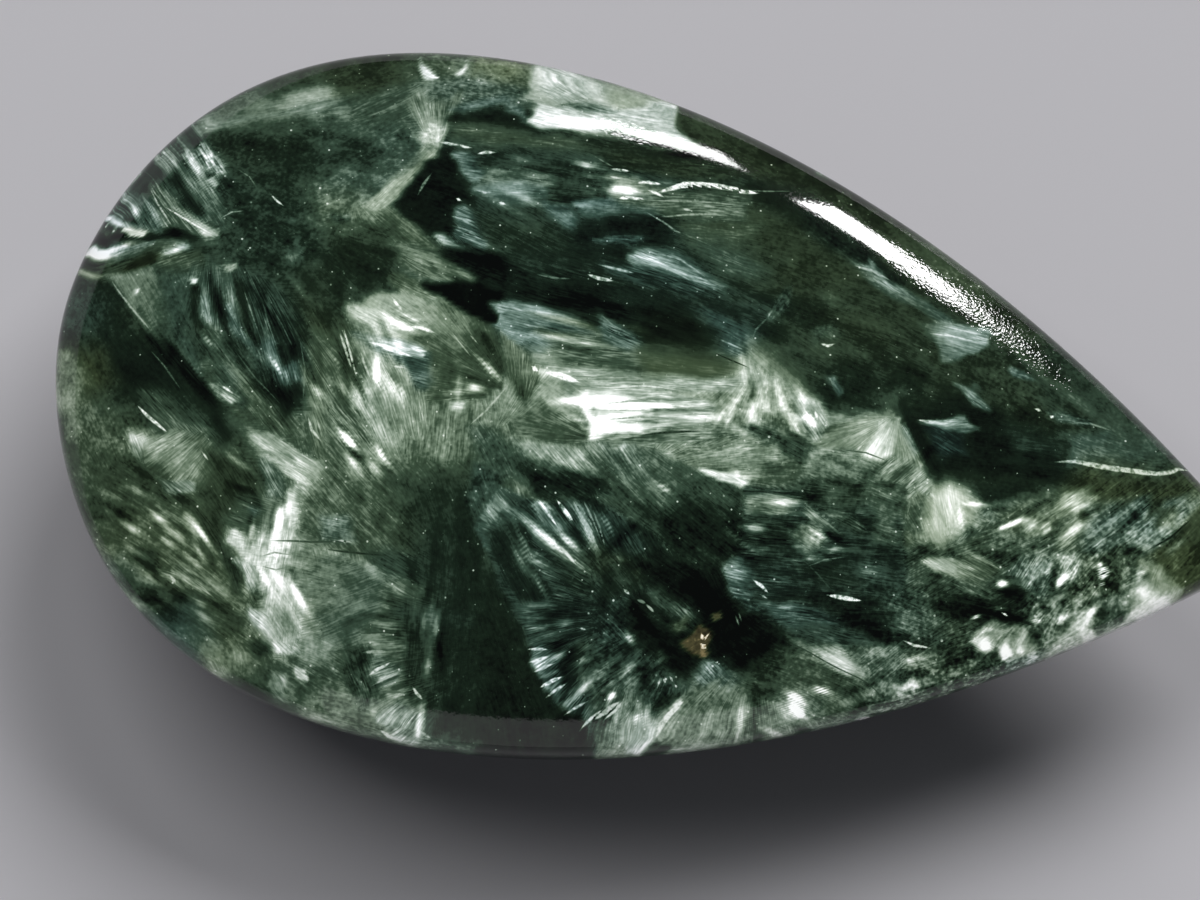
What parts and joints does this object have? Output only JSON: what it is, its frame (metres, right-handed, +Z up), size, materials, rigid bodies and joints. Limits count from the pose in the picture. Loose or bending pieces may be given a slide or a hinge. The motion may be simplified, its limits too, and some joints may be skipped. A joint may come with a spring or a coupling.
{
  "type": "pear-shaped seraphinite cabochon",
  "caption": "Polished pear-shaped stone with a low dome, a narrow girdle and a flat back, cut to be set in a bezel or shown lying flat.",
  "frame": {"origin": "middle of the flat back's bounding rectangle, on the surface that the stone lies on", "axes": "+X along the stone's length towards the pointed tip, +Z up out of the dome, +Y across the width"},
  "size_m": [0.048, 0.028, 0.0062],
  "materials": {
    "seraphinite": "polished dark green stone with silvery feathered fibres"
  },
  "bodies": {
    "root": {"cabochon": "seraphinite"}
  },
  "joints": []
}
